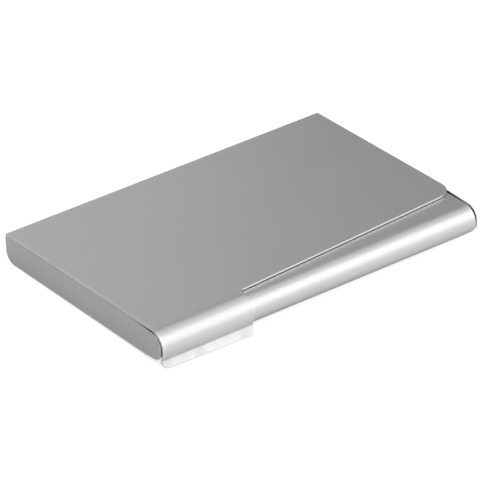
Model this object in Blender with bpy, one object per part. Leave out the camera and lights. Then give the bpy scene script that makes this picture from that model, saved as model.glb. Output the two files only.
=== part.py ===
"""Business card case: a sheet-aluminium tray with a rolled front edge, and a lid that turns about that roll.

X runs along the long side, +Y to the rear and +Z up. The origin is the middle of the flat underside.
Lengths are in metres and angles in degrees. In a side view, an angle is counted about the roll's axis from
straight up, towards the front: 0 is the top, 90 the front and 180 the underside.
"""
import math

import bmesh
import bpy
from mathutils import Vector

# The case as a whole
CASE_WIDTH = 0.0930  # over the lid's two short sides
CASE_DEPTH = 0.0640  # from the front of the lid's wrap to the rear wall
SHEET = 0.0005  # thickness of the aluminium sheet
SEAT_GAP = 0.00015  # between a piece and the one that it is welded to or turns on
LID_TAPER = 0.6  # the closed lid falls towards the rear
SHARP_ANGLE = 30

# The roll along the front edge, which is also the hinge
ROLL_RADIUS = 0.00375
WRAP_RADIUS = ROLL_RADIUS + SEAT_GAP + SHEET  # outside of the lid's wrap, which turns around the roll
AXIS_Y = -CASE_DEPTH / 2 + WRAP_RADIUS
AXIS_Z = ROLL_RADIUS
REAR_Y = CASE_DEPTH / 2
FOOT_Z = SHEET + SEAT_GAP  # underside of what is welded to the floor

# Tray
TRAY_X = (-0.0445, 0.0453)
REAR_CORNER_RADIUS = 0.0032
TOP_LIP_DEPTH = 0.0080  # flat lip behind the roll, under the lid
WINDOW_X = (-0.0417, -0.0243)  # opening in the roll for the lid's hinge leaf
WINDOW_ANGLES = (40, 120)
WINDOW_MARGIN = 0.0006

# End plates
PLATE_THICKNESS = 0.0004
PLATE_INSET = 0.0001  # behind the lid's short sides
UNDER_LID_GAP = 0.0002
PLATE_NOSE_REACH = 0.0031  # in front of the axis
PLATE_NOSE_RADIUS = 0.0029
PLATE_NOSE_Z = (0.00055, 0.0069)  # lowest and highest points of the nose, inside the wrap
PLATE_HEEL_DEPTH = 0.0030  # the lower edge is down on the floor's level this far behind the axis
PLATE_RELIEF_DEPTH = 0.0070  # the top edge starts to fall away to the nose this far behind the axis
PLATE_RELIEF_RADIUS = 0.0100
PLATE_TOP_CORNER = 0.0004
PLATE_FOOT_Y = (-0.0180, 0.0240)
PLATE_FOOT_REACH = 0.0040

# Card stop
STOP_BEHIND_AXIS = 0.0025
STOP_FOOT_REACH = 0.0035
STOP_X = (-0.0443, 0.0451)

# Lid
LID_REAR_Y = 0.0317
LID_CORNER_RADIUS = 0.0003
WRAP_RIGHT_X = -0.0207  # the wrap covers the roll from the left end to here
WRAP_END_ANGLE = 123
CUT_START = 0.0010  # the slanting front edge starts this far behind the axis, beside the wrap
CUT_END = 0.0058  # and ends this far behind it, at the right side
CUT_START_RADIUS = 0.0014
CUT_END_RADIUS = 0.0048
TAB_ANGLE = 160  # the tab hangs down and a little outwards
TAB_BEND_RADIUS = 0.0005
TAB_LENGTH = (0.0018, 0.0024)  # at the left and at the right, past the bend
TAB_CORNER_RADIUS = (0.0017, 0.0012)

# Hinge, inside the roll
PIN_RADIUS = 0.00075
PIN_HOLE_RADIUS = 0.00082
PIN_HEAD_RADIUS = 0.0012
PIN_HEAD_CROWN = 0.8  # radius of the head's flat end, as a share of the head's
PIN_HEAD_DOME = 0.4  # share of the head's length that is domed
PIN_HEAD_LENGTH = 0.0005
PIN_X = (-0.0442, -0.0218)
CARRIER_X = (-0.0436, -0.0224)
CARRIER_BASE_Y = (AXIS_Y, AXIS_Y + 0.0023)
CARRIER_EYE_RADIUS = 0.0015
CARRIER_EYE_ANGLES = (-100, 100)
LEAF_X = (-0.0410, -0.0250)
LEAF_ANGLES = (48, 76)
LEAF_RADII = (0.0034, 0.0038)
LEAF_EYE_RADIUS = 0.0016
LEAF_EYE_NECK = 60  # half the angle of the eye that the ear's neck takes up
WIRE_RADIUS = 0.0002
COIL_RADIUS = 0.00118
COIL_X = (-0.0354, -0.0308)
COIL_TURNS = 7
COIL_STEPS_PER_TURN = 14
LEAF_LEG = (0.0027, 62)  # length of the spring's leg, and the angle that its end reaches
FLOOR_LEG = (0.0018, 187)

TAPER_TURN = math.radians(LID_TAPER)


def clear_scene():
    for old in list(bpy.data.objects):
        bpy.data.objects.remove(old, do_unlink=True)


def metal(name, colour, roughness):
    material = bpy.data.materials.new(name)
    material.use_nodes = True
    shader = material.node_tree.nodes["Principled BSDF"]
    shader.inputs["Base Color"].default_value = (*colour, 1.0)
    shader.inputs["Metallic"].default_value = 1.0
    shader.inputs["Roughness"].default_value = roughness
    return material


# ---- outlines in the side view, as (y, z) points ----


def polar(radius, angle, centre):
    turn = math.radians(angle)
    return (centre[0] - radius * math.sin(turn), centre[1] + radius * math.cos(turn))


def arc(radius, start, end, steps, centre):
    return [polar(radius, start + (end - start) * i / steps, centre) for i in range(steps + 1)]


def rectangle(y_range, z_range):
    return [(y_range[0], z_range[0]), (y_range[1], z_range[0]), (y_range[1], z_range[1]), (y_range[0], z_range[1])]


def rounded_outline(corners, steps):
    """A closed outline through (point, radius) corners, with an arc at each corner that has a radius."""
    outline = []
    for i, (point, radius) in enumerate(corners):
        if radius == 0:
            outline.append(point)
            continue
        here = Vector(point)
        before = (Vector(corners[i - 1][0]) - here).normalized()
        after = (Vector(corners[(i + 1) % len(corners)][0]) - here).normalized()
        half = before.angle(after) / 2
        centre = here + (before + after).normalized() * radius / math.sin(half)
        start = here + before * radius / math.tan(half) - centre
        end = here + after * radius / math.tan(half) - centre
        first = math.atan2(start.y, start.x)
        sweep = (math.atan2(end.y, end.x) - first + math.pi) % (2 * math.pi) - math.pi
        for k in range(steps + 1):
            turn = first + sweep * k / steps
            outline.append((centre.x + radius * math.cos(turn), centre.y + radius * math.sin(turn)))
    return outline


def lid_underside_z(y):
    """Height of the closed lid's lower face."""
    return AXIS_Z + (WRAP_RADIUS - SHEET) / math.cos(TAPER_TURN) - (y - AXIS_Y) * math.tan(TAPER_TURN)


# ---- meshes and objects ----


def link_object(name, data, material, parent=None, location=(0, 0, 0)):
    """Put a mesh or a curve in the scene; material None makes it a guide for a Boolean."""
    piece = bpy.data.objects.new(name, data)
    piece.parent = parent
    piece.location = location
    if material:
        data.materials.append(material)
    else:
        piece.hide_render = True
        piece.display_type = "WIRE"
    bpy.context.scene.collection.objects.link(piece)
    return piece


def finished_mesh(name, shape):
    """The mesh of a bmesh, shaded smooth across its round stretches."""
    mesh = bpy.data.meshes.new(name)
    shape.to_mesh(mesh)
    shape.free()
    mesh.shade_smooth()
    mesh.set_sharp_from_angle(angle=math.radians(SHARP_ANGLE))
    return mesh


def prism(name, outline, x_range):
    """An outline of the side view, extruded along X."""
    shape = bmesh.new()
    face = shape.faces.new([shape.verts.new((x_range[0], y, z)) for y, z in outline])
    extruded = bmesh.ops.extrude_face_region(shape, geom=[face])["geom"]
    moved = [item for item in extruded if isinstance(item, bmesh.types.BMVert)]
    bmesh.ops.translate(shape, verts=moved, vec=(x_range[1] - x_range[0], 0, 0))
    bmesh.ops.recalc_face_normals(shape, faces=shape.faces)
    return finished_mesh(name, shape)


def turned(name, profile, steps=24):
    """A profile of (x, radius) points turned about X, with flat ends."""
    shape = bmesh.new()
    rings = []
    for x, radius in profile:
        circle = [polar(radius, 360 * i / steps, (0, 0)) for i in range(steps)]
        rings.append([shape.verts.new((x, y, z)) for y, z in circle])
    for ring, following in zip(rings, rings[1:]):
        for i in range(steps):
            shape.faces.new((ring[i - 1], ring[i], following[i], following[i - 1]))
    shape.faces.new(rings[0])
    shape.faces.new(rings[-1])
    bmesh.ops.recalc_face_normals(shape, faces=shape.faces)
    return finished_mesh(name, shape)


def combine(piece, guide, operation):
    """Join a guide to a piece, or cut it away."""
    modifier = piece.modifiers.new(guide.name, "BOOLEAN")
    modifier.operation = operation
    modifier.solver = "EXACT"
    modifier.object = guide


def thicken(piece):
    """Give a bent sheet its thickness, behind the side that its faces look to."""
    modifier = piece.modifiers.new("sheet thickness", "SOLIDIFY")
    modifier.thickness = SHEET
    modifier.offset = -1.0
    modifier.use_even_offset = True


def drill_for_pin(piece, x_range, parent, centre):
    """Cut the pin's hole through every ear of a bracket."""
    past = 2 * SHEET
    profile = [(x_range[0] - past, PIN_HOLE_RADIUS), (x_range[1] + past, PIN_HOLE_RADIUS)]
    name = piece.name + "_pin_hole"
    combine(piece, link_object(name, turned(name, profile), None, parent, centre), "DIFFERENCE")


def add_ears(piece, outline, x_range, parent=None):
    """Join an upright ear to each end of a bracket."""
    for side, start in (("left", x_range[0]), ("right", x_range[1] - SHEET)):
        name = f"{piece.name}_{side}_ear"
        ear = link_object(name, prism(name, outline, (start, start + SHEET)), None, parent)
        combine(piece, ear, "UNION")


# ---- the case's own pieces ----


def build_tray(material):
    """Rear wall, floor, roll and top lip: one sheet, bent along its length."""
    axis = (AXIS_Y, AXIS_Z)
    path = [(REAR_Y, lid_underside_z(REAR_Y) - UNDER_LID_GAP)]
    path += arc(REAR_CORNER_RADIUS, 270, 180, 10, (REAR_Y - REAR_CORNER_RADIUS, REAR_CORNER_RADIUS))
    path += arc(ROLL_RADIUS, 180, -LID_TAPER, 36, axis)
    lip_y, lip_z = path[-1]
    path.append((lip_y + TOP_LIP_DEPTH * math.cos(TAPER_TURN), lip_z - TOP_LIP_DEPTH * math.sin(TAPER_TURN)))
    shape = bmesh.new()
    rows = [[shape.verts.new((x, y, z)) for x in TRAY_X] for y, z in path]
    for (left, right), (next_left, next_right) in zip(rows, rows[1:]):
        shape.faces.new((left, right, next_right, next_left))
    tray = link_object("base_shell", finished_mesh("base_shell", shape), material)
    thicken(tray)
    window = arc(ROLL_RADIUS + WINDOW_MARGIN, *WINDOW_ANGLES, 12, axis)
    window += arc(ROLL_RADIUS - SHEET - WINDOW_MARGIN, *WINDOW_ANGLES[::-1], 12, axis)
    combine(tray, link_object("roll_window", prism("roll_window", window, WINDOW_X), None), "DIFFERENCE")


def build_end_plate(name, side, material):
    """End plate with a round nose, and a foot that is welded to the floor."""
    outer = side * (CASE_WIDTH / 2 - PLATE_INSET)
    inner = outer - side * PLATE_THICKNESS
    front = AXIS_Y - PLATE_NOSE_REACH
    relief_y = AXIS_Y + PLATE_RELIEF_DEPTH
    corners = [
        ((front, PLATE_NOSE_Z[0]), PLATE_NOSE_RADIUS),
        ((AXIS_Y + PLATE_HEEL_DEPTH, 0.0), PLATE_RELIEF_RADIUS),
        ((REAR_Y, 0.0), REAR_CORNER_RADIUS),
        ((REAR_Y, lid_underside_z(REAR_Y) - UNDER_LID_GAP), PLATE_TOP_CORNER),
        ((relief_y, lid_underside_z(relief_y) - UNDER_LID_GAP), PLATE_RELIEF_RADIUS),
        ((front, PLATE_NOSE_Z[1]), PLATE_NOSE_RADIUS),
    ]
    plate = link_object(name, prism(name, rounded_outline(corners, 12), sorted((inner, outer))), material)
    foot_name = name + "_foot"
    foot_x = sorted(((inner + outer) / 2, inner - side * PLATE_FOOT_REACH))
    foot = prism(foot_name, rectangle(PLATE_FOOT_Y, (FOOT_Z, FOOT_Z + SHEET)), foot_x)
    combine(plate, link_object(foot_name, foot, None), "UNION")


def build_card_stop(material):
    """Angle strip on the floor, under the top lip, that keeps the cards out of the roll."""
    front = AXIS_Y + STOP_BEHIND_AXIS
    back = front + SHEET
    top = lid_underside_z(front) - 2 * (SEAT_GAP + SHEET)
    outline = [
        (front, FOOT_Z),
        (front + STOP_FOOT_REACH, FOOT_Z),
        (front + STOP_FOOT_REACH, FOOT_Z + SHEET),
        (back, FOOT_Z + SHEET),
        (back, top),
        (front, top),
    ]
    link_object("card_stop", prism("card_stop", outline, STOP_X), material)


def build_pin_carrier(material):
    """U bracket on the floor, inside the roll, whose upright ears hold the pin."""
    axis = (AXIS_Y, AXIS_Z)
    base = prism("pin_carrier", rectangle(CARRIER_BASE_Y, (FOOT_Z, FOOT_Z + SHEET)), CARRIER_X)
    carrier = link_object("pin_carrier", base, material)
    ear = [(CARRIER_BASE_Y[0], FOOT_Z), (CARRIER_BASE_Y[1], FOOT_Z)]
    ear += arc(CARRIER_EYE_RADIUS, *CARRIER_EYE_ANGLES, 16, axis)
    add_ears(carrier, ear, CARRIER_X)
    drill_for_pin(carrier, CARRIER_X, None, (0, *axis))


def build_pin(material):
    """Hinge pin, with a head outside each of the carrier's ears."""
    profile = []
    for end, inward in ((PIN_X[0], 1), (PIN_X[1], -1)):
        head = [
            (end, PIN_HEAD_RADIUS * PIN_HEAD_CROWN),
            (end + inward * PIN_HEAD_LENGTH * PIN_HEAD_DOME, PIN_HEAD_RADIUS),
            (end + inward * PIN_HEAD_LENGTH, PIN_HEAD_RADIUS),
            (end + inward * PIN_HEAD_LENGTH, PIN_RADIUS),
        ]
        profile += head[::inward]
    link_object("hinge_pin", turned("hinge_pin", profile), material, None, (0, AXIS_Y, AXIS_Z))


def build_lid(pivot, material):
    """Plate, wrap around the roll and thumb tab: one sheet, drawn about the hinge axis."""
    left, right = -CASE_WIDTH / 2, CASE_WIDTH / 2
    rear = (LID_REAR_Y - AXIS_Y) / math.cos(TAPER_TURN)
    corners = [
        ((left, 0.0), 0),
        ((WRAP_RIGHT_X, 0.0), 0),
        ((WRAP_RIGHT_X, CUT_START), CUT_START_RADIUS),
        ((right, CUT_END), CUT_END_RADIUS),
        ((right, rear), LID_CORNER_RADIUS),
        ((left, rear), LID_CORNER_RADIUS),
    ]
    shape = bmesh.new()
    plate = shape.faces.new([shape.verts.new((x, y, WRAP_RADIUS)) for x, y in rounded_outline(corners, 8)])
    bend_centre = polar(WRAP_RADIUS + TAB_BEND_RADIUS, WRAP_END_ANGLE, (0, 0))
    path = arc(WRAP_RADIUS, 0, WRAP_END_ANGLE, 28, (0, 0))[1:]
    path += arc(TAB_BEND_RADIUS, WRAP_END_ANGLE + 180, TAB_ANGLE + 90, 5, bend_centre)[1:]
    row = list(plate.verts)[:2]
    for y, z in path:
        following = [shape.verts.new((x, y, z)) for x in (left, WRAP_RIGHT_X)]
        shape.faces.new((row[1], row[0], following[0], following[1]))
        row = following
    out_y, out_z = polar(1.0, TAB_ANGLE, (0, 0))
    tab_corners = [
        ((left, TAB_LENGTH[0]), TAB_CORNER_RADIUS[0]),
        ((WRAP_RIGHT_X, TAB_LENGTH[1]), TAB_CORNER_RADIUS[1]),
        ((WRAP_RIGHT_X, 0.0), 0),
        ((left, 0.0), 0),
    ]
    tab = [
        shape.verts.new((x, path[-1][0] + out_y * reach, path[-1][1] + out_z * reach))
        for x, reach in rounded_outline(tab_corners, 8)[:-2]
    ]
    shape.faces.new([row[1], row[0]] + tab)
    thicken(link_object("lid", finished_mesh("lid", shape), material, pivot))


def build_hinge_leaf(pivot, material):
    """Curved strip welded inside the wrap, with an ear at each end that turns on the pin."""
    centre = (0, 0)
    outside = arc(LEAF_RADII[1], *LEAF_ANGLES, 6, centre)
    strip = outside + arc(LEAF_RADII[0], *LEAF_ANGLES[::-1], 6, centre)
    leaf = link_object("hinge_leaf", prism("hinge_leaf", strip, LEAF_X), material, pivot)
    middle = sum(LEAF_ANGLES) / 2
    eye = arc(LEAF_EYE_RADIUS, middle + LEAF_EYE_NECK, middle + 360 - LEAF_EYE_NECK, 18, centre)
    add_ears(leaf, outside + eye, LEAF_X, pivot)
    drill_for_pin(leaf, LEAF_X, pivot, (0, 0, 0))


def build_spring(pivot, material):
    """Torsion spring around the pin: one leg lies against the leaf and the other reaches for the floor."""
    leaf_leg, leaf_angle = LEAF_LEG
    floor_leg, floor_angle = FLOOR_LEG
    start = leaf_angle + math.degrees(math.atan2(leaf_leg, COIL_RADIUS))
    end = floor_angle - math.degrees(math.atan2(floor_leg, COIL_RADIUS)) + 360 * COIL_TURNS
    steps = COIL_TURNS * COIL_STEPS_PER_TURN
    points = [(COIL_X[0], *polar(math.hypot(leaf_leg, COIL_RADIUS), leaf_angle, (0, 0)))]
    for i in range(steps + 1):
        share = i / steps
        x = COIL_X[0] + (COIL_X[1] - COIL_X[0]) * share
        points.append((x, *polar(COIL_RADIUS, start + (end - start) * share, (0, 0))))
    points.append((COIL_X[1], *polar(math.hypot(floor_leg, COIL_RADIUS), floor_angle, (0, 0))))
    curve = bpy.data.curves.new("return_spring", "CURVE")
    curve.dimensions = "3D"
    curve.bevel_depth = WIRE_RADIUS
    curve.bevel_resolution = 2
    curve.use_fill_caps = True
    spline = curve.splines.new("POLY")
    spline.points.add(len(points) - 1)
    for point, place in zip(spline.points, points):
        point.co = (*place, 1.0)
    link_object("return_spring", curve, material, pivot)


def link_pivot():
    """An empty on the hinge axis that carries everything that turns with the lid."""
    pivot = bpy.data.objects.new("lid_pivot", None)
    pivot.location = (0, AXIS_Y, AXIS_Z)
    pivot.rotation_euler = (-TAPER_TURN, 0, 0)
    bpy.context.scene.collection.objects.link(pivot)
    return pivot


def build_case():
    aluminium = metal("satin_aluminium", (0.62, 0.62, 0.61), 0.38)
    plain = metal("bent_steel", (0.50, 0.50, 0.51), 0.45)
    steel = metal("pin_steel", (0.58, 0.58, 0.60), 0.25)
    wire = metal("spring_wire", (0.36, 0.37, 0.40), 0.30)
    build_tray(aluminium)
    build_end_plate("left_end_plate", -1, aluminium)
    build_end_plate("right_end_plate", 1, aluminium)
    build_card_stop(aluminium)
    build_pin_carrier(plain)
    build_pin(steel)
    pivot = link_pivot()
    build_lid(pivot, aluminium)
    build_hinge_leaf(pivot, plain)
    build_spring(pivot, wire)


clear_scene()
build_case()
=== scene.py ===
import math

import bmesh
import bpy
from mathutils import Matrix, Vector


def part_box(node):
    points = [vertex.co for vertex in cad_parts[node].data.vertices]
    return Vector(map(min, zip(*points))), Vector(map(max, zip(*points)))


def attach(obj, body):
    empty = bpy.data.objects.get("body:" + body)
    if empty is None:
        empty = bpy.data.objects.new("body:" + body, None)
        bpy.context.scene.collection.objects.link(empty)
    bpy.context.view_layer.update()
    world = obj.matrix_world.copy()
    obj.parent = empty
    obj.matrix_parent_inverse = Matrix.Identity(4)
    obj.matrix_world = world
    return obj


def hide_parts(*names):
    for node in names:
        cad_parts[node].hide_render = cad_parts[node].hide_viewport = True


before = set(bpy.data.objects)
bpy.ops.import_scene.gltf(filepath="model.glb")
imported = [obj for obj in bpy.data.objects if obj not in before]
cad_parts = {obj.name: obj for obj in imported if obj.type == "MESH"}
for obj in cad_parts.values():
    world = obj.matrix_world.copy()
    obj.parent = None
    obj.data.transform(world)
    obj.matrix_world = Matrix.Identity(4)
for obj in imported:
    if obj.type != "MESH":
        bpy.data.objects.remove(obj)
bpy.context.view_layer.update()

scene = bpy.context.scene

# ----------------------------------------------------------------------------------------------------------
# Camera. A long lens a little over a metre away looks down on the front left corner of the closed case.
# Azimuth 0 would look along +Y. The camera is rolled a little, because the case lies tilted on its thumb tab.

AZIMUTH = math.radians(-35.35)
ELEVATION = math.radians(29.53)
CAMERA_ROLL = math.radians(-2.59)
CAMERA_DISTANCE = 1.1305
LENS = 358.3
LOOK_AT = Vector((0, 0, 0.004))
FRAMING = Vector((-0.00083, -0.00147, 0))  # how far the picture's middle lies from there, across and up

back = Vector((
    math.sin(AZIMUTH) * math.cos(ELEVATION),
    -math.cos(AZIMUTH) * math.cos(ELEVATION),
    math.sin(ELEVATION),
))
level = Vector((math.cos(AZIMUTH), math.sin(AZIMUTH), 0))
upright = back.cross(level)
turned = Matrix((level, upright, back)).transposed().to_4x4() @ Matrix.Rotation(CAMERA_ROLL, 4, "Z")
camera = bpy.data.objects.new("camera", bpy.data.cameras.new("camera"))
camera.data.lens = LENS
camera.data.sensor_width = 36
camera.data.clip_start = 0.1
stand = Matrix.Translation(LOOK_AT + back * CAMERA_DISTANCE)
camera.matrix_world = stand @ turned @ Matrix.Translation(FRAMING)
scene.collection.objects.link(camera)
scene.camera = camera

# ----------------------------------------------------------------------------------------------------------
# Studio. A pale matt floor, which the closed case touches with its thumb tab and the heel of its rear wall, and
# soft boxes: large ones at the front right and above that light the roll, and a dimmer one behind for the lid.

FLOOR_SIZE = 4.0
HEEL_SETBACK = 0.0032  # the underside meets the rear bend this far in front of the rear wall
FLOOR_WHITE = (0.80, 0.80, 0.80, 1.0)
FLOOR_LIFT = 0.75  # light that the floor shows the camera beyond what falls on it, as a lit table does
FRONT_GLOW = 0.32  # extra light in the floor in front of the case, which only the metal sees
FRONT_GLOW_START = 0.030
FRONT_GLOW_WIDTH = 0.022
WORLD_GREY = (0.30, 0.30, 0.30, 1.0)
SOFT_BOXES = {  # direction and distance from the case's middle, width and height, and brightness
    "front_box": ((0.50, -0.72, 0.44), 0.60, (0.62, 0.52), 1.3),
    "upper_box": ((0.50, -0.20, 0.85), 0.65, (0.62, 0.40), 0.50),
    "rear_box": ((-0.05, 0.80, 0.45), 0.32, (0.44, 0.30), 0.27),
    "top_box": ((-0.35, -0.10, 1.0), 0.90, (0.80, 0.80), 1.6),
}


class Signal:
    """One output of a node. Sums and products of signals add the Math nodes that make them."""

    def __init__(self, net, socket):
        self.net = net
        self.socket = socket

    def math(self, operation, *values, clamp=False):
        settings = {"operation": operation, "use_clamp": clamp}
        return self.net.add("ShaderNodeMath", settings, [self, *values])

    def __add__(self, other):
        return self.math("ADD", other)

    def __sub__(self, other):
        return self.math("SUBTRACT", other)

    def __rsub__(self, other):
        return self.net.add("ShaderNodeMath", {"operation": "SUBTRACT"}, [other, self])

    def __mul__(self, other):
        return self.math("MULTIPLY", other)

    def __truediv__(self, other):
        return self.math("DIVIDE", other)

    def __abs__(self):
        return self.math("ABSOLUTE")

    __radd__ = __add__
    __rmul__ = __mul__

    def clamped(self):
        return self.math("MAXIMUM", 0).math("MINIMUM", 1)

    def beside(self, output):
        """Another output of the same node."""
        return Signal(self.net, self.socket.node.outputs[output])


class Net:
    """A node tree that is being drawn."""

    def __init__(self, tree):
        self.tree = tree

    def add(self, kind, settings=None, values=(), output=0):
        """Add a node: its settings first, then the values or links of its sockets, by place or by name."""
        node = self.tree.nodes.new(kind)
        for name, setting in (settings or {}).items():
            setattr(node, name, setting)
        for key, value in values.items() if isinstance(values, dict) else enumerate(values):
            if isinstance(value, Signal):
                self.tree.links.new(value.socket, node.inputs[key])
            else:
                node.inputs[key].default_value = value
        return Signal(self, node.outputs[output]) if node.outputs else node

    def mix(self, share, first, second):
        """A colour that goes from first to second as share goes from 0 to 1."""
        settings = {"data_type": "RGBA", "clamp_factor": True}
        return self.add("ShaderNodeMix", settings, {0: share, 6: first, 7: second}, output=2)

    def vector(self, operation, *values, **named):
        inputs = {**dict(enumerate(values)), **named}
        return self.add("ShaderNodeVectorMath", {"operation": operation}, inputs)

    def noise(self, place, scale, detail):
        return self.add("ShaderNodeTexNoise", None, {"Vector": place, "Scale": scale, "Detail": detail})

    def stretched(self, place, scale, turn=0.0):
        """Coordinates for a pattern with these many features to the metre along X, Y and Z."""
        values = {"Vector": place, "Scale": scale, "Rotation": (0, 0, turn)}
        return self.add("ShaderNodeMapping", None, values)

    def bump(self, height, depth):
        """The normal of a surface with this relief."""
        return self.add("ShaderNodeBump", None, {"Strength": 1.0, "Distance": depth, "Height": height})

    def surface(self, values):
        """A metal surface with these values or links on its shader's sockets."""
        shader = self.add("ShaderNodeBsdfPrincipled", None, {"Metallic": 1.0, **values})
        self.add("ShaderNodeOutputMaterial", None, {"Surface": shader})


def new_material(name):
    """A material with an empty net."""
    material = bpy.data.materials.new(name)
    material.use_nodes = True
    material.node_tree.nodes.clear()
    return material, Net(material.node_tree)


def link(name, data):
    made = bpy.data.objects.new(name, data)
    scene.collection.objects.link(made)
    return made


heel_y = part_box("base_shell")[1].y - HEEL_SETBACK
tab_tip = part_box("lid")[0]
floor_tilt = math.atan2(-tab_tip.z, heel_y - tab_tip.y)
floor_shape = bmesh.new()
bmesh.ops.create_grid(floor_shape, x_segments=1, y_segments=1, size=FLOOR_SIZE / 2)
bmesh.ops.rotate(floor_shape, verts=floor_shape.verts, matrix=Matrix.Rotation(floor_tilt, 3, "X"))
bmesh.ops.translate(floor_shape, verts=floor_shape.verts, vec=(0, heel_y, 0))
floor_mesh = bpy.data.meshes.new("floor")
floor_shape.to_mesh(floor_mesh)
floor_shape.free()
floor = link("floor", floor_mesh)
floor_paint, net = new_material("floor_paint")
matt = net.add("ShaderNodeBsdfDiffuse", values={"Color": FLOOR_WHITE})
glow = net.add("ShaderNodeEmission", values={"Strength": FLOOR_LIFT})
lit = net.add("ShaderNodeAddShader", values=[matt, glow])
extra = net.add("ShaderNodeEmission", values={"Strength": FRONT_GLOW})
front_glow = net.add("ShaderNodeAddShader", values=[matt, extra])
spot = net.add("ShaderNodeSeparateXYZ", None, [net.add("ShaderNodeTexCoord").beside(3)])
toward_front = ((0 - spot.beside(1) - FRONT_GLOW_START) / FRONT_GLOW_WIDTH).clamped()
mirrored = net.add("ShaderNodeMixShader", values=[toward_front, matt, front_glow])
seen = net.add("ShaderNodeLightPath")
shown_floor = net.add("ShaderNodeMixShader", values=[seen, mirrored, lit])
net.add("ShaderNodeOutputMaterial", values={"Surface": shown_floor})
floor_mesh.materials.append(floor_paint)

world = bpy.data.worlds.new("studio")
world.use_nodes = True
world.node_tree.nodes["Background"].inputs["Color"].default_value = WORLD_GREY
scene.world = world
scene.view_settings.view_transform = "Standard"

for name, (direction, distance, size, brightness) in SOFT_BOXES.items():
    lamp = bpy.data.lights.new(name, "AREA")
    lamp.shape = "RECTANGLE"
    lamp.size, lamp.size_y = size
    lamp.energy = brightness * math.pi * size[0] * size[1]
    box = link(name, lamp)
    aim = Vector(direction).normalized()
    box.location = LOOK_AT + aim * distance
    box.rotation_mode = "QUATERNION"
    box.rotation_quaternion = aim.to_track_quat("Z", "Y")
    box.visible_camera = False

# ----------------------------------------------------------------------------------------------------------
# Tray. One sheet of half-millimetre aluminium, blanked flat and then bent along its length: rear wall, floor, the
# roll along the front and a flat lip behind it. It is blasted and anodised, which leaves a fine satin grain.

SHEET = 0.0005
CUT_EDGE_RADIUS = 0.00009
BEND_STEP = 2.5  # degrees of bend to each row of faces
WELD_GAP = 0.00015  # between a piece and the one that it is welded to or turns on
TAPER = 0.6  # degrees by which the closed lid falls towards the rear
UNDER_LID_GAP = 0.0002
TRAY_BLANK_CORNER = 0.0004
REAR_CORNER_RADIUS = 0.0032
ROLL_RADIUS = 0.00375
LIP_DEPTH = 0.0080
WINDOW_X = (-0.0417, -0.0243)  # opening in the roll for the lid's hinge leaf
WINDOW_ANGLES = (40, 120)

SATIN = (0.74, 0.74, 0.735, 1.0)
SATIN_DULL = (0.69, 0.69, 0.688, 1.0)
# pale satin of rubbed edges and scratches, and also the colour of the painted highlight on the lid's thumb tab
SATIN_RUBBED_AND_HIGHLIGHT = (0.90, 0.90, 0.89, 1.0)
SATIN_ROUGHNESS = 0.40
BLAST_GRAIN = 6500  # features to the metre
BLAST_DEPTH = 0.0000015
ROLLING_LINES = (45, 1500, 1500)  # the mill's rolling lines run along the sheet's long side
HAIRLINES = (90, 4200, 4200)
HAIRLINE_TURN = 0.35
HAIRLINE_ONSET = 0.70  # noise above this is a scratch
HAIRLINE_CONTRAST = 9
CLOUDING = 55
WEAR_AND_HIGHLIGHT_PATCHES = 320
FINE_WEAR_PATCHES = 1280  # on the small steel parts
PATCH_CONTRAST = 2.4
PATCH_ONSET = 0.5
CUT_METAL = (0.82, 0.82, 0.81, 1.0)
CUT_METAL_DARK = (0.66, 0.66, 0.65, 1.0)
CUT_ROUGHNESS = 0.36
SHEAR_LINES = (3200, 3200, 500)
SHEAR_DEPTH = 0.000003

tray_low, tray_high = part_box("base_shell")
lid_low, lid_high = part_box("lid")
WRAP_RADIUS = ROLL_RADIUS + WELD_GAP + SHEET
WRAP_RIGHT_X = -0.0207
AXIS = (tray_low.y + ROLL_RADIUS, ROLL_RADIUS)  # of the roll, and of the hinge
taper_turn = math.radians(TAPER)


def polar(radius, angle, centre=(0.0, 0.0)):
    """A point of the side view: the angle is in degrees, from straight up towards the front."""
    turn = math.radians(angle)
    return (centre[0] - radius * math.sin(turn), centre[1] + radius * math.cos(turn))


def arc(radius, start, end, centre=(0.0, 0.0), step=BEND_STEP):
    steps = max(1, math.ceil(abs(end - start) / step))
    return [polar(radius, start + (end - start) * i / steps, centre) for i in range(steps + 1)]


def rounded(corners, steps=10):
    """A closed outline through (point, radius) corners, with an arc at each corner that has a radius."""
    outline = []
    for i, (point, radius) in enumerate(corners):
        if not radius:
            outline.append(point)
            continue
        here = Vector(point)
        before = (Vector(corners[i - 1][0]) - here).normalized()
        after = (Vector(corners[(i + 1) % len(corners)][0]) - here).normalized()
        half = before.angle(after) / 2
        centre = here + (before + after).normalized() * radius / math.sin(half)
        start = here + before * radius / math.tan(half) - centre
        end = here + after * radius / math.tan(half) - centre
        first = math.atan2(start.y, start.x)
        sweep = (math.atan2(end.y, end.x) - first + math.pi) % (2 * math.pi) - math.pi
        turns = [first + sweep * k / steps for k in range(steps + 1)]
        outline += [(centre.x + radius * math.cos(t), centre.y + radius * math.sin(t)) for t in turns]
    return outline


def rectangle(low, high, radius):
    corners = [low, (high[0], low[1]), high, (low[0], high[1])]
    return rounded([(corner, radius) for corner in corners])


def run_length(path):
    return sum(math.dist(here, following) for here, following in zip(path, path[1:]))


def lid_underside(y):
    """Height of the closed lid's lower face."""
    return AXIS[1] + (WRAP_RADIUS - SHEET) / math.cos(taper_turn) - (y - AXIS[0]) * math.tan(taper_turn)


def new_tree(name, sockets):
    """A geometry tree with these named inputs: its net, and a signal for each of them."""
    tree = bpy.data.node_groups.new(name, "GeometryNodeTree")
    for label, kind in sockets.items():
        tree.interface.new_socket(label, in_out="INPUT", socket_type="NodeSocket" + kind)
    tree.interface.new_socket("Piece", in_out="OUTPUT", socket_type="NodeSocketGeometry")
    net = Net(tree)
    first = net.add("NodeGroupInput")
    return net, [first.beside(i) for i in range(len(sockets))]


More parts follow.
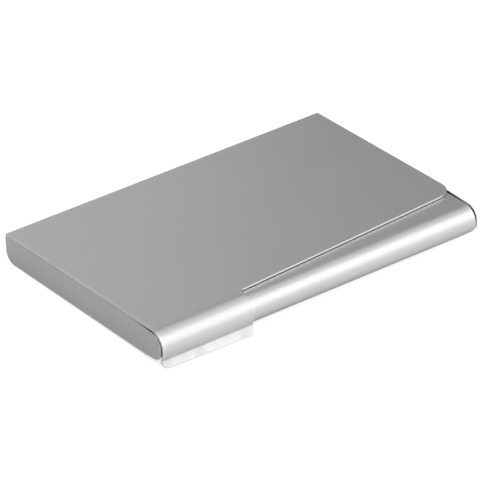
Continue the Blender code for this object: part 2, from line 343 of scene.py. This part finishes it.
def add_tree(made, net, **inputs):
    """Give an object the tree as a modifier, with values for its named inputs."""
    modifier = made.modifiers.new(net.tree.name, "NODES")
    modifier.node_group = net.tree
    for item in net.tree.interface.items_tree:
        label = item.name.replace(" ", "_").lower()
        if item.in_out == "INPUT" and label in inputs:
            modifier[item.identifier] = inputs[label]


def plain_mesh(made):
    """The mesh that an object's modifiers give. The object and its modifiers are removed."""
    graph = bpy.context.evaluated_depsgraph_get()
    evaluated = made.evaluated_get(graph)
    mesh = bpy.data.meshes.new_from_object(evaluated, preserve_all_data_layers=True, depsgraph=graph)
    bpy.data.objects.remove(made)
    return mesh


bending, given = new_tree("bend the blank", {
    "Blank": "Geometry",
    "Bend line": "Object",
    "Across": "Vector",
    "Face finish": "Material",
    "Edge finish": "Material",
})
flat, line_object, across, face_finish, edge_finish = given
reach = bending.add("ShaderNodeSeparateXYZ", None, [bending.add("GeometryNodeInputPosition")])
line = bending.add("GeometryNodeObjectInfo", {"transform_space": "ORIGINAL"}, [line_object]).beside(4)
sampled = {"Curves": line, "Length": reach.beside(1)}
on_line = bending.add("GeometryNodeSampleCurve", {"mode": "LENGTH"}, sampled)
outward = bending.vector("NORMALIZE", bending.vector("CROSS_PRODUCT", across, on_line.beside(2)))
bent_place = bending.vector("ADD", on_line.beside(1), bending.vector("SCALE", across, Scale=reach))
bent_place = bending.vector("ADD", bent_place, bending.vector("SCALE", outward, Scale=reach.beside(2)))
bent = bending.add("GeometryNodeSetPosition", None, {"Geometry": flat, "Position": bent_place})
bent = bending.add("GeometryNodeRealizeInstances", None, [bent])
is_cut = bending.add("GeometryNodeInputMaterialIndex")
bent = bending.add("GeometryNodeSetMaterial", None, [bent, is_cut, edge_finish])
bent = bending.add("GeometryNodeSetMaterial", None, [bent, 1 - is_cut, face_finish])
bending.add("NodeGroupOutput", None, [bent])


def flat_blank(name, outline, folds, holes, window):
    """The blank's outer face, in the XY plane, with an edge across it at each fold."""
    shape = bmesh.new()
    loops = [[shape.verts.new((*point, 0)) for point in loop] for loop in (outline, *holes)]
    if holes:
        edges = [shape.edges.new((loop[i - 1], loop[i])) for loop in loops for i in range(len(loop))]
        bmesh.ops.triangle_fill(shape, edges=edges, use_beauty=True, normal=(0, 0, 1))
    else:
        shape.faces.new(loops[0])
    cuts = [(0, fold) for fold in folds]
    if window:
        (left, first), (right, last) = window
        cuts += [(0, first), (0, last), (left, 0), (right, 0)]
    for x, y in cuts:
        everything = [*shape.verts, *shape.edges, *shape.faces]
        normal = (1, 0, 0) if x else (0, 1, 0)
        bmesh.ops.bisect_plane(shape, geom=everything, dist=1e-7, plane_co=(x, y, 0), plane_no=normal)
    if window:
        middles = {face: face.calc_center_median() for face in shape.faces}
        cut_out = [face for face, at in middles.items() if left < at.x < right and first < at.y < last]
        bmesh.ops.delete(shape, geom=cut_out, context="FACES")
    mesh = bpy.data.meshes.new(name)
    shape.to_mesh(mesh)
    shape.free()
    mesh.shade_smooth()
    return mesh


def path_curve(name, points):
    """A curve object through the points, for a tree to follow."""
    curve = bpy.data.curves.new(name, "CURVE")
    curve.dimensions = "3D"
    spline = curve.splines.new("POLY")
    spline.points.add(len(points) - 1)
    for point, place in zip(spline.points, points):
        point.co = (*place, 1)
    return link(name, curve)


def sheet_mesh(name, outline, bend_line, finishes, across=(1, 0, 0), holes=(), window=None,
               thickness=SHEET, edge_radius=CUT_EDGE_RADIUS):
    """A piece of sheet metal: a flat blank with eased edges, laid along the bend line of its outer face.

    The outline and the holes are (across, along) points, and a window is its two opposite corners.
    The finishes are the face's and the cut edge's.
    """
    low, high = min(point[1] for point in outline), max(point[1] for point in outline)
    runs = [run_length(bend_line[:i + 1]) for i in range(len(bend_line))]
    folds = [run for run in runs if low + WELD_GAP / 10 < run < high - WELD_GAP / 10]
    mesh = flat_blank(name, outline, folds, holes, window)
    for finish in finishes:
        mesh.materials.append(finish)
    made = link(name, mesh)
    solid = made.modifiers.new("thickness", "SOLIDIFY")
    solid.thickness = thickness
    solid.offset = -1
    solid.material_offset_rim = 1
    eased = made.modifiers.new("eased edges", "BEVEL")
    eased.width = edge_radius
    eased.segments = 3
    eased.use_clamp_overlap = False
    eased.material = 1
    guide = path_curve(name + "_bend_line", bend_line)
    add_tree(made, bending, bend_line=guide, across=across, face_finish=finishes[0], edge_finish=finishes[1])
    made.modifiers.new("even shading", "WEIGHTED_NORMAL").weight = 50
    finished = plain_mesh(made)
    bpy.data.objects.remove(guide)
    return finished


def joined(name, meshes):
    """One mesh of several, with their materials."""
    pieces = [link(f"{name}_{i}", mesh) for i, mesh in enumerate(meshes)]
    bpy.ops.object.select_all(action="DESELECT")
    for piece in pieces:
        piece.select_set(True)
    bpy.context.view_layer.objects.active = pieces[0]
    bpy.ops.object.join()
    mesh = pieces[0].data
    bpy.data.objects.remove(pieces[0])
    return mesh


def keep(name, mesh, body, slot, *nodes):
    """A finished piece of the case, which stands for CAD nodes of its body."""
    mesh.name = name
    piece = link(name, mesh)
    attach(piece, body)
    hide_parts(*nodes)
    return piece


def near(distance, width):
    """1 at a distance of nothing, falling to 0 at the width."""
    return (1 - abs(distance) / width).clamped()


def brightened_share(net, place, brightened_where, patch_scale):
    """How far the colour is lightened: the rubbed stretches, and on the lid's thumb tab a painted highlight,
    broken up into patches.
    """
    x = net.add("ShaderNodeSeparateXYZ", None, [place])
    patches = net.noise(place, patch_scale, 3)
    return (brightened_where(x, x.beside(1), x.beside(2)) * (patches * PATCH_CONTRAST - PATCH_ONSET)).clamped()


def satin_finish(name, brightened_where, bright=SATIN, dull=SATIN_DULL):
    """Blasted and anodised aluminium. Its second argument takes x, y and z and gives how near a rubbed edge a
    point lies, and on the lid also where the thumb tab carries a painted highlight.
    """
    material, net = new_material(name)
    place = net.add("ShaderNodeTexCoord").beside(3)
    grain = net.noise(place, BLAST_GRAIN, 4)
    rolling = net.noise(net.stretched(place, ROLLING_LINES), 1.0, 3)
    hairline = net.noise(net.stretched(place, HAIRLINES, HAIRLINE_TURN), 1.0, 1)
    cloud = net.noise(place, CLOUDING, 2)
    # On the lid this mask also lays a painted highlight on the thumb tab.
    brightening = brightened_share(net, place, brightened_where, WEAR_AND_HIGHLIGHT_PATCHES)
    scratch = ((hairline - HAIRLINE_ONSET) * HAIRLINE_CONTRAST).clamped()
    colour = net.mix(cloud * 0.5 + rolling * 0.3 + grain * 0.2, dull, bright)
    colour = net.mix(brightening * 0.8 + scratch * 0.25, colour, SATIN_RUBBED_AND_HIGHLIGHT)
    rough = SATIN_ROUGHNESS + (grain - 0.5) * 0.10 + (rolling - 0.5) * 0.05 + (cloud - 0.5) * 0.06
    rough = rough - brightening * 0.07 - scratch * 0.05
    bump = net.bump(grain + rolling * 0.5 - scratch * 0.6, BLAST_DEPTH)
    net.surface({"Base Color": colour, "Roughness": rough, "Normal": bump})
    return material


def cut_finish(name, metal, dark, roughness):
    """A sheared edge: brighter than the anodised face, with the fine steps that the blade leaves."""
    material, net = new_material(name)
    place = net.add("ShaderNodeTexCoord").beside(3)
    shear = net.noise(net.stretched(place, SHEAR_LINES), 1.0, 3)
    grain = net.noise(place, BLAST_GRAIN, 2)
    bump = net.bump(shear + grain, SHEAR_DEPTH)
    rough = roughness + (shear - 0.5) * 0.16 + (grain - 0.5) * 0.08
    net.surface({"Base Color": net.mix(shear, dark, metal), "Roughness": rough, "Normal": bump})
    return material


cut_edge = cut_finish("sheared_edge", CUT_METAL, CUT_METAL_DARK, CUT_ROUGHNESS)


def tray_wear(x, y, z):
    """The roll's ends, and the band beside the wrap where the lid's edge rubs as it turns."""
    ends = near(x - tray_high.x, 0.0008) + near(x - tray_low.x, 0.0008)
    return ends + near(x - WRAP_RIGHT_X, 0.0012) * near(y - tray_low.y, 0.0040)


side_line = [(tray_high.y, lid_underside(tray_high.y) - UNDER_LID_GAP)]
side_line += arc(REAR_CORNER_RADIUS, 270, 180, (tray_high.y - REAR_CORNER_RADIUS, REAR_CORNER_RADIUS))
side_line += arc(ROLL_RADIUS, 180, -TAPER, AXIS)
lip_y, lip_z = side_line[-1]
side_line.append((lip_y + LIP_DEPTH * math.cos(taper_turn), lip_z - LIP_DEPTH * math.sin(taper_turn)))
tray_length = run_length(side_line)
roll_start = tray_length - LIP_DEPTH - ROLL_RADIUS * math.radians(180 + TAPER)
window = [
    (x, roll_start + ROLL_RADIUS * math.radians(180 - angle))
    for x, angle in zip(WINDOW_X, WINDOW_ANGLES[::-1])
]
tray_outline = rectangle((tray_low.x, 0), (tray_high.x, tray_length), TRAY_BLANK_CORNER)
tray_line = [(0, *point) for point in side_line]
tray_finishes = (satin_finish("satin_tray", tray_wear), cut_edge)
keep("tray_sheet", sheet_mesh("tray_sheet", tray_outline, tray_line, tray_finishes, window=window),
     "tray", "satin_aluminium", "base_shell")

# ----------------------------------------------------------------------------------------------------------
# End plates. A flat aluminium plate closes each end of the tray, with a round nose that sits inside the lid's
# wrap. Its rim is eased all round. A bent foot is welded to its inner face and spot-welded to the tray's floor.

PLATE_THICKNESS = 0.0004
PLATE_RIM_RADIUS = 0.00012
NOSE_REACH = 0.0031  # in front of the axis
NOSE_RADIUS = 0.0029
NOSE_Z = (0.00055, 0.0069)  # lowest and highest points of the nose, inside the wrap
HEEL_DEPTH = 0.0030  # the lower edge is down on the floor's level this far behind the axis
RELIEF_DEPTH = 0.0070  # the top edge starts to fall away to the nose this far behind the axis
RELIEF_RADIUS = 0.0100
PLATE_TOP_CORNER = 0.0004
FOOT_Y = (-0.0180, 0.0240)
FOOT_REACH = 0.0040
FOOT_LEG = 0.0032  # height of the leg that is welded to the plate
FOOT_BEND_RADIUS = 0.0007
FOOT_CORNER = 0.0007
FOOT_Z = SHEET + WELD_GAP  # underside of what is welded to the floor
# The end plates' satin is a darker copy of the tray's and the lid's: painted shade, standing in for the shadowed
# floor that the plates' end faces reflect.
SHADED_PLATE_SATIN = (0.63, 0.63, 0.625, 1.0)
SHADED_PLATE_SATIN_DULL = (0.58, 0.58, 0.578, 1.0)
PLATE_BEND_LINE = 0.0120  # longer than any upright piece is tall
WELD_REACH = 0.0024  # from the plate's inner face to its row of spot welds
WELD_COUNT = 5
WELD_RADIUS = 0.0007
WELD_SWELL = 0.00004

rear_y = tray_high.y
relief_y = AXIS[0] + RELIEF_DEPTH
nose_front = AXIS[0] - NOSE_REACH
plate_top = lid_underside(rear_y) - UNDER_LID_GAP


def plate_wear(x, y, z):
    """The plate's lower and upper edges, and its nose."""
    return near(z, 0.0005) + near(y - nose_front, 0.0007) + near(y - rear_y, 0.0006)


def upright_plate(name, side, outer, corners, finishes, thickness, rim, holes=()):
    """A flat piece that stands square to X, drawn as it looks from the side: (y, z) points."""
    outline = [(y * side, z) for y, z in corners][::side]
    upright_line = [(outer, 0, 0), (outer, 0, PLATE_BEND_LINE)]
    return sheet_mesh(name, outline, upright_line, finishes, across=(0, side, 0),
                      holes=[[(y * side, z) for y, z in hole] for hole in holes], thickness=thickness,
                      edge_radius=rim)


welding, given = new_tree("row of spot welds", {
    "First": "Vector",
    "Last": "Vector",
    "Count": "Int",
    "Radius": "Float",
    "Swell": "Float",
    "Finish": "Material",
})
first, last, count, radius, swell, finish = given
row = welding.add("GeometryNodeMeshLine", {"mode": "END_POINTS"},
                  {"Count": count, "Start Location": first, "Offset": last})
nugget = welding.add("GeometryNodeMeshUVSphere", None, {"Segments": 20, "Rings": 8, "Radius": 1.0})
lens = welding.add("ShaderNodeCombineXYZ", None, [radius, radius, swell])
row = welding.add("GeometryNodeInstanceOnPoints", None, {"Points": row, "Instance": nugget, "Scale": lens})
row = welding.add("GeometryNodeRealizeInstances", None, [row])
row = welding.add("GeometryNodeSetShadeSmooth", None, [row])
row = welding.add("GeometryNodeSetMaterial", None, {"Geometry": row, "Material": finish})
welding.add("NodeGroupOutput", None, [row])


def spot_welds(name, first, last, finish):
    """The shallow swellings that a row of spot welds leaves on the upper of two sheets."""
    made = link(name, bpy.data.meshes.new(name))
    add_tree(made, welding, first=first, last=last, count=WELD_COUNT, radius=WELD_RADIUS, swell=WELD_SWELL,
             finish=finish)
    return plain_mesh(made)


# The plates, their feet and their welds take the darker satin, which is painted shade.
plate_finishes_with_shade = (satin_finish("satin_end_plate", plate_wear, SHADED_PLATE_SATIN, SHADED_PLATE_SATIN_DULL), cut_edge)
for side, name in ((-1, "left_end_plate"), (1, "right_end_plate")):
    low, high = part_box(name)
    outer = side * max(abs(low.x), abs(high.x))
    inner = outer - side * PLATE_THICKNESS
    corners = [
        ((nose_front, NOSE_Z[0]), NOSE_RADIUS),
        ((AXIS[0] + HEEL_DEPTH, 0), RELIEF_RADIUS),
        ((rear_y, 0), REAR_CORNER_RADIUS),
        ((rear_y, plate_top), PLATE_TOP_CORNER),
        ((relief_y, lid_underside(relief_y) - UNDER_LID_GAP), RELIEF_RADIUS),
        ((nose_front, NOSE_Z[1]), NOSE_RADIUS),
    ]
    plate = upright_plate(name, side, outer, rounded(corners, 16), plate_finishes_with_shade,
                          PLATE_THICKNESS, PLATE_RIM_RADIUS)
    bend = arc(FOOT_BEND_RADIUS, 90, 180, (inner - side * FOOT_BEND_RADIUS, FOOT_Z + FOOT_BEND_RADIUS), 9)
    foot_side = [(inner, FOOT_Z + FOOT_LEG)]
    foot_side += [(inner + side * (bend[0][0] - x), z) for x, z in bend]
    foot_side.append((inner - side * FOOT_REACH, FOOT_Z))
    foot_line = [(x, 0, z) for x, z in foot_side]
    foot_outline = rectangle((-FOOT_Y[1], 0), (-FOOT_Y[0], run_length(foot_line)), FOOT_CORNER)
    if side < 0:
        foot_outline = rectangle((FOOT_Y[0], 0), (FOOT_Y[1], run_length(foot_line)), FOOT_CORNER)
    foot = sheet_mesh(name + "_foot", foot_outline, foot_line, plate_finishes_with_shade, across=(0, -side, 0))
    weld_x = inner - side * WELD_REACH
    ends = [(weld_x, y, FOOT_Z + SHEET) for y in (FOOT_Y[0] + FOOT_REACH, FOOT_Y[1] - FOOT_REACH)]
    welds = spot_welds(name + "_welds", *ends, plate_finishes_with_shade[0])
    keep(name + "_sheet", joined(name, [plate, foot, welds]), "tray", "satin_aluminium", name)

# ----------------------------------------------------------------------------------------------------------
# Card stop. An aluminium angle strip on the floor just behind the roll, which keeps the cards' edges out of the
# hinge. Its foot is spot-welded to the floor.

STOP_BEHIND_AXIS = 0.0025
STOP_FOOT = 0.0035
STOP_BEND_RADIUS = 0.0006
STOP_CORNER = 0.0005
STOP_WELD_REACH = 0.0021
STOP_WELD_SPAN = 0.85  # the welds take up this share of the strip's length


def stop_wear(x, y, z):
    """The strip's upper edge, which the cards' corners brush."""
    return near(z - stop_high.z, 0.0006)


stop_low, stop_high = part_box("card_stop")
stop_y = AXIS[0] + STOP_BEHIND_AXIS
stop_side = [(stop_y + STOP_FOOT, FOOT_Z)]
stop_side += arc(STOP_BEND_RADIUS, 180, 90, (stop_y + STOP_BEND_RADIUS, FOOT_Z + STOP_BEND_RADIUS), 9)
stop_side.append((stop_y, stop_high.z))
stop_line = [(0, *point) for point in stop_side]
stop_outline = rectangle((stop_low.x, 0), (stop_high.x, run_length(stop_line)), STOP_CORNER)
stop_finishes = (satin_finish("satin_card_stop", stop_wear), cut_edge)
stop_strip = sheet_mesh("stop_strip", stop_outline, stop_line, stop_finishes)
weld_ends = (stop_low.x * STOP_WELD_SPAN, stop_high.x * STOP_WELD_SPAN)
ends = [(x, stop_y + STOP_WELD_REACH, FOOT_Z + SHEET) for x in weld_ends]
stop_welds = spot_welds("stop_welds", *ends, stop_finishes[0])
keep("stop_strip", joined("stop_strip", [stop_strip, stop_welds]), "tray", "satin_aluminium", "card_stop")

# ----------------------------------------------------------------------------------------------------------
# Lid. One blank of the tray's sheet: a flat plate whose front edge slants away from the roll, a wrap that closes
# round the roll's left end, and a thumb tab turned outwards at the wrap's end. It swings about the roll's axis.

WRAP_END_ANGLE = 123
TAB_ANGLE = 160  # the tab hangs down and a little outwards
CUT_START = 0.0010  # the slanting edge starts this far behind the axis, beside the wrap
CUT_END = 0.0058
CUT_START_RADIUS = 0.0014
CUT_END_RADIUS = 0.0048
LID_CORNER_RADIUS = 0.0003
TAB_BEND_RADIUS = 0.0005
TAB_REACH = (0.0018, 0.0024)  # at the left and at the right, past the bend
TAB_CORNER_RADIUS = (0.0017, 0.0012)
LID_REAR_Y = 0.0317

half_lid = lid_high.x
wrap_end = WRAP_END_ANGLE - TAPER
tab_centre = polar(WRAP_RADIUS + TAB_BEND_RADIUS, wrap_end, AXIS)
tab_bend = arc(TAB_BEND_RADIUS, TAB_ANGLE - TAPER + 90, wrap_end + 180, tab_centre, 9)
tab_out = polar(1, TAB_ANGLE - TAPER)
tab_tip_point = tuple(start + TAB_REACH[1] * out for start, out in zip(tab_bend[0], tab_out))
lid_side = [tab_tip_point] + tab_bend + arc(WRAP_RADIUS, wrap_end, -TAPER, AXIS)[1:]
plate_start = run_length(lid_side)
top_y, top_z = lid_side[-1]
plate_length = (LID_REAR_Y - AXIS[0]) / math.cos(taper_turn)
lid_side.append((top_y + plate_length * math.cos(taper_turn), top_z - plate_length * math.sin(taper_turn)))
lid_corners = [
    ((-half_lid, TAB_REACH[1] - TAB_REACH[0]), TAB_CORNER_RADIUS[0]),
    ((WRAP_RIGHT_X, 0), TAB_CORNER_RADIUS[1]),
    ((WRAP_RIGHT_X, plate_start + CUT_START), CUT_START_RADIUS),
    ((half_lid, plate_start + CUT_END), CUT_END_RADIUS),
    ((half_lid, plate_start + plate_length), LID_CORNER_RADIUS),
    ((-half_lid, plate_start + plate_length), LID_CORNER_RADIUS),
]


def lid_wear_and_tab_highlight(x, y, z):
    """The plate's long edges, where fingers meet them, and the thumb tab: partly its wear, mostly a painted
    highlight.
    """
    return near(abs(x) - half_lid, 0.0010) + near(y - LID_REAR_Y, 0.0010) + near(z - lid_low.z, 0.0040) * 1.6


# The lid's satin carries a painted highlight on the thumb tab, laid on through its wear mask.
lid_finishes_with_highlight = (satin_finish("satin_lid", lid_wear_and_tab_highlight), cut_edge)
lid_line = [(0, *point) for point in lid_side]
lid_sheet = sheet_mesh("lid_sheet", rounded(lid_corners), lid_line, lid_finishes_with_highlight)
keep("lid_sheet", lid_sheet, "lid", "satin_aluminium", "lid")

# ----------------------------------------------------------------------------------------------------------
# Pin carrier and hinge leaf. Two brackets of bent steel strip. The carrier is spot-welded to the tray's floor and
# the leaf inside the lid's wrap, and each has two ears that are pierced for the pin.

CARRIER_DEPTH = 0.0023
CARRIER_BEND_RADIUS = 0.0007
EYE_RADIUS = 0.0015
EYE_TURNS = range(80, 281, 10)  # the round part of a carrier's ear, in degrees
EAR_NARROW = 0.6  # share of the ear below the eye that is as narrow as the eye
LEAF_EYE_RADIUS = 0.0016
LEAF_NECK = 60  # half the angle of the eye that the ear's neck takes up
LEAF_ANGLES = (48, 76)
LEAF_RADII = (0.0034, 0.0038)
PIN_HOLE_RADIUS = 0.00082
STRIP_EDGE_RADIUS = 0.00006
STRIP_FINISH = ((0.50, 0.50, 0.51, 1.0), (0.36, 0.36, 0.37, 1.0), 0.42)  # bright, dull, roughness
STEEL_RUBBED = (0.70, 0.70, 0.70, 1.0)
STRIP_LINES = (300, 3800, 3800)


def steel_finish(name, metal, dark, roughness, lines, brightened_where):
    """Bare steel with the lines of its rolling, turning or drawing. Its last argument gives how near a rubbed
    edge a point lies, as for the satin finish.
    """
    material, net = new_material(name)
    place = net.add("ShaderNodeTexCoord").beside(3)
    drawn = net.noise(net.stretched(place, lines), 1.0, 3)
    grain = net.noise(place, BLAST_GRAIN, 3)
    brightening = brightened_share(net, place, brightened_where, FINE_WEAR_PATCHES)
    colour = net.mix(brightening, net.mix(drawn * 0.7 + grain * 0.3, dark, metal), STEEL_RUBBED)
    rough = roughness + (drawn - 0.5) * 0.16 + (grain - 0.5) * 0.10 - brightening * 0.10
    bump = net.bump(drawn + grain * 0.5, SHEAR_DEPTH)
    net.surface({"Base Color": colour, "Roughness": rough, "Normal": bump})
    return material


def circle(radius, centre, steps=28):
    return [polar(radius, 360 * i / steps, centre) for i in range(steps)]


def carrier_wear(x, y, z):
    """The ears' crowns."""
    return near(z - AXIS[1] - EYE_RADIUS, 0.0007)


def leaf_wear(x, y, z):
    """The outside of the ears, which rub on the carrier's."""
    return near(abs(x - leaf_middle) - leaf_half, 0.0004)


carrier_low, carrier_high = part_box("pin_carrier")
sheared_strip = cut_finish("sheared_strip", *STRIP_FINISH)
carrier_finishes = (steel_finish("rolled_strip", *STRIP_FINISH, STRIP_LINES, carrier_wear), sheared_strip)
foot_bend = FOOT_Z + CARRIER_BEND_RADIUS
left_x, right_x = carrier_low.x, carrier_high.x
carrier_side = [(left_x, AXIS[1] + EYE_RADIUS)]
carrier_side += arc(CARRIER_BEND_RADIUS, 90, 180, (left_x + CARRIER_BEND_RADIUS, foot_bend), 9)
carrier_side += arc(CARRIER_BEND_RADIUS, 180, 270, (right_x - CARRIER_BEND_RADIUS, foot_bend), 9)
carrier_side.append((right_x, AXIS[1] + EYE_RADIUS))
carrier_line = [(x, AXIS[0], z) for x, z in carrier_side]
blank_length = run_length(carrier_line)
ear_foot = 2 * EYE_RADIUS + (AXIS[1] - EYE_RADIUS - foot_bend) * EAR_NARROW
eye = [polar(EYE_RADIUS, angle, (0, EYE_RADIUS)) for angle in EYE_TURNS]
eye = [(-x, z) for x, z in eye[::-1]]
ear_outline = [(0, ear_foot)] + eye + [(CARRIER_DEPTH, ear_foot)]
carrier_outline = ear_outline + [(x, blank_length - along) for x, along in ear_outline[::-1]]
carrier_holes = [circle(PIN_HOLE_RADIUS, (0, along)) for along in (EYE_RADIUS, blank_length - EYE_RADIUS)]
carrier = sheet_mesh("carrier_bracket", carrier_outline, carrier_line, carrier_finishes, across=(0, 1, 0),
                     holes=carrier_holes, edge_radius=STRIP_EDGE_RADIUS)
keep("carrier_bracket", carrier, "tray", "bracket_steel", "pin_carrier")

leaf_low, leaf_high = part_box("hinge_leaf")
leaf_middle, leaf_half = (leaf_low.x + leaf_high.x) / 2, (leaf_high.x - leaf_low.x) / 2
leaf_finishes = (steel_finish("rolled_leaf", *STRIP_FINISH, STRIP_LINES, leaf_wear), sheared_strip)
leaf_start, leaf_end = (angle - TAPER for angle in LEAF_ANGLES)
leaf_arc = arc(LEAF_RADII[1], leaf_end, leaf_start, AXIS)
leaf_line = [(0, *point) for point in leaf_arc]
leaf_outline = rectangle((leaf_low.x, 0), (leaf_high.x, run_length(leaf_line)), STRIP_EDGE_RADIUS)
leaf_parts = [sheet_mesh("leaf_strip", leaf_outline, leaf_line, leaf_finishes,
                         thickness=LEAF_RADII[1] - LEAF_RADII[0], edge_radius=STRIP_EDGE_RADIUS)]
toward = (leaf_start + leaf_end) / 2
ear_side = leaf_arc[::-1] + arc(LEAF_EYE_RADIUS, toward + LEAF_NECK, toward + 360 - LEAF_NECK, AXIS, 9)
for side, outer in ((-1, leaf_low.x), (1, leaf_high.x)):
    leaf_parts.append(upright_plate("leaf_ear", side, outer, ear_side, leaf_finishes, SHEET, STRIP_EDGE_RADIUS,
                                    [circle(PIN_HOLE_RADIUS, AXIS)]))
keep("leaf_bracket", joined("leaf_bracket", leaf_parts), "lid", "bracket_steel", "hinge_leaf")

# ----------------------------------------------------------------------------------------------------------
# Hinge pin. A turned steel pin on the roll's axis, with a domed head outside each of the carrier's ears.

PIN_RADIUS = 0.00075
PIN_HEAD_RADIUS = 0.0012
PIN_HEAD_LENGTH = 0.0005
PIN_CROWN = 0.45  # the flat end's radius, as a share of the head's
PIN_DOME = 0.7  # share of the head's length that is domed
PIN_STEPS = 48
SHARP_ANGLE = 35
PIN_STEEL = (0.60, 0.60, 0.62, 1.0)
PIN_STEEL_DARK = (0.48, 0.48, 0.50, 1.0)
PIN_ROUGHNESS = 0.24
TURNING_LINES = (9000, 300, 300)


def pin_wear(x, y, z):
    """The two heads."""
    return near(abs(x - pin_middle) - pin_half, 0.0006)


pin_low, pin_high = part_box("hinge_pin")
pin_middle, pin_half = (pin_low.x + pin_high.x) / 2, (pin_high.x - pin_low.x) / 2
dome = [
    (pin_half - PIN_HEAD_LENGTH * (1 - math.sin(turn)) * PIN_DOME,
     PIN_HEAD_RADIUS * (PIN_CROWN + (1 - PIN_CROWN) * math.cos(turn)))
    for turn in (math.radians(90 * i / 8) for i in range(9))
]
head = dome[::-1] + [(pin_half - PIN_HEAD_LENGTH, PIN_HEAD_RADIUS), (pin_half - PIN_HEAD_LENGTH, PIN_RADIUS)]
pin_profile = [(pin_middle + x, radius) for x, radius in head]
pin_profile += [(pin_middle - x, radius) for x, radius in head[::-1]]
pin_shape = bmesh.new()
rings = []
for x, radius in pin_profile:
    rings.append([pin_shape.verts.new((x, *point)) for point in circle(radius, AXIS, PIN_STEPS)])
for ring, following in zip(rings, rings[1:]):
    for i in range(PIN_STEPS):
        pin_shape.faces.new((ring[i - 1], ring[i], following[i], following[i - 1]))
pin_shape.faces.new(rings[0])
pin_shape.faces.new(rings[-1])
bmesh.ops.recalc_face_normals(pin_shape, faces=pin_shape.faces)
pin_mesh = bpy.data.meshes.new("pin")
pin_shape.to_mesh(pin_mesh)
pin_shape.free()
pin_mesh.shade_smooth()
pin_mesh.set_sharp_from_angle(angle=math.radians(SHARP_ANGLE))
pin_finish = steel_finish("turned_pin", PIN_STEEL, PIN_STEEL_DARK, PIN_ROUGHNESS, TURNING_LINES, pin_wear)
pin_mesh.materials.append(pin_finish)
keep("turned_pin", pin_mesh, "tray", "pin_steel", "hinge_pin")

# ----------------------------------------------------------------------------------------------------------
# Return spring. Hard-drawn wire wound seven times round the pin. One leg lies against the leaf and the other
# reaches for the floor. It is drawn here as wire swept along the path of its middle.

WIRE_RADIUS = 0.0002
COIL_RADIUS = 0.00118
COIL_X = (-0.0354, -0.0308)
COIL_TURNS = 7
COIL_STEPS_PER_TURN = 40
LEAF_LEG = (0.0027, 62)  # the leg's length, and the angle that its end reaches
FLOOR_LEG = (0.0018, 187)
WIRE_STEEL = (0.40, 0.41, 0.44, 1.0)
WIRE_STEEL_DARK = (0.28, 0.29, 0.32, 1.0)
WIRE_ROUGHNESS = 0.30
DRAWING_LINES = (5200, 5200, 900)

sweeping, given = new_tree("wire along a path", {"Path": "Object", "Radius": "Float", "Finish": "Material"})
path_object, radius, finish = given
path = sweeping.add("GeometryNodeObjectInfo", {"transform_space": "ORIGINAL"}, [path_object]).beside(4)
section = sweeping.add("GeometryNodeCurvePrimitiveCircle", None, {"Resolution": 16, "Radius": radius})
swept = {"Curve": path, "Profile Curve": section, "Fill Caps": True}
wire = sweeping.add("GeometryNodeCurveToMesh", None, swept)
wire = sweeping.add("GeometryNodeSetShadeSmooth", None, [wire])
wire = sweeping.add("GeometryNodeRealizeInstances", None, [wire])
wire = sweeping.add("GeometryNodeSetMaterial", None, {"Geometry": wire, "Material": finish})
sweeping.add("NodeGroupOutput", None, [wire])


def wire_wear(x, y, z):
    """The leg that slides on the leaf."""
    return near(z - wire_high.z, 0.0006)


wire_low, wire_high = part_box("return_spring")
leaf_leg, leaf_angle = LEAF_LEG
floor_leg, floor_angle = FLOOR_LEG
wire_start = leaf_angle + math.degrees(math.atan2(leaf_leg, COIL_RADIUS)) - TAPER
wire_end = floor_angle - math.degrees(math.atan2(floor_leg, COIL_RADIUS)) + 360 * COIL_TURNS - TAPER
wire_steps = COIL_TURNS * COIL_STEPS_PER_TURN
wire_path = [(COIL_X[0], *polar(math.hypot(leaf_leg, COIL_RADIUS), leaf_angle - TAPER, AXIS))]
for i in range(wire_steps + 1):
    turn = wire_start + (wire_end - wire_start) * i / wire_steps
    wire_path.append((COIL_X[0] + (COIL_X[1] - COIL_X[0]) * i / wire_steps, *polar(COIL_RADIUS, turn, AXIS)))
wire_path.append((COIL_X[1], *polar(math.hypot(floor_leg, COIL_RADIUS), floor_angle - TAPER, AXIS)))
guide = path_curve("spring_path", wire_path)
spring = link("spring_wire", bpy.data.meshes.new("spring_wire"))
drawn_wire = steel_finish("drawn_wire", WIRE_STEEL, WIRE_STEEL_DARK, WIRE_ROUGHNESS, DRAWING_LINES, wire_wear)
add_tree(spring, sweeping, path=guide, radius=WIRE_RADIUS, finish=drawn_wire)
spring_mesh = plain_mesh(spring)
bpy.data.objects.remove(guide)
keep("spring_wire", spring_mesh, "lid", "spring_wire", "return_spring")
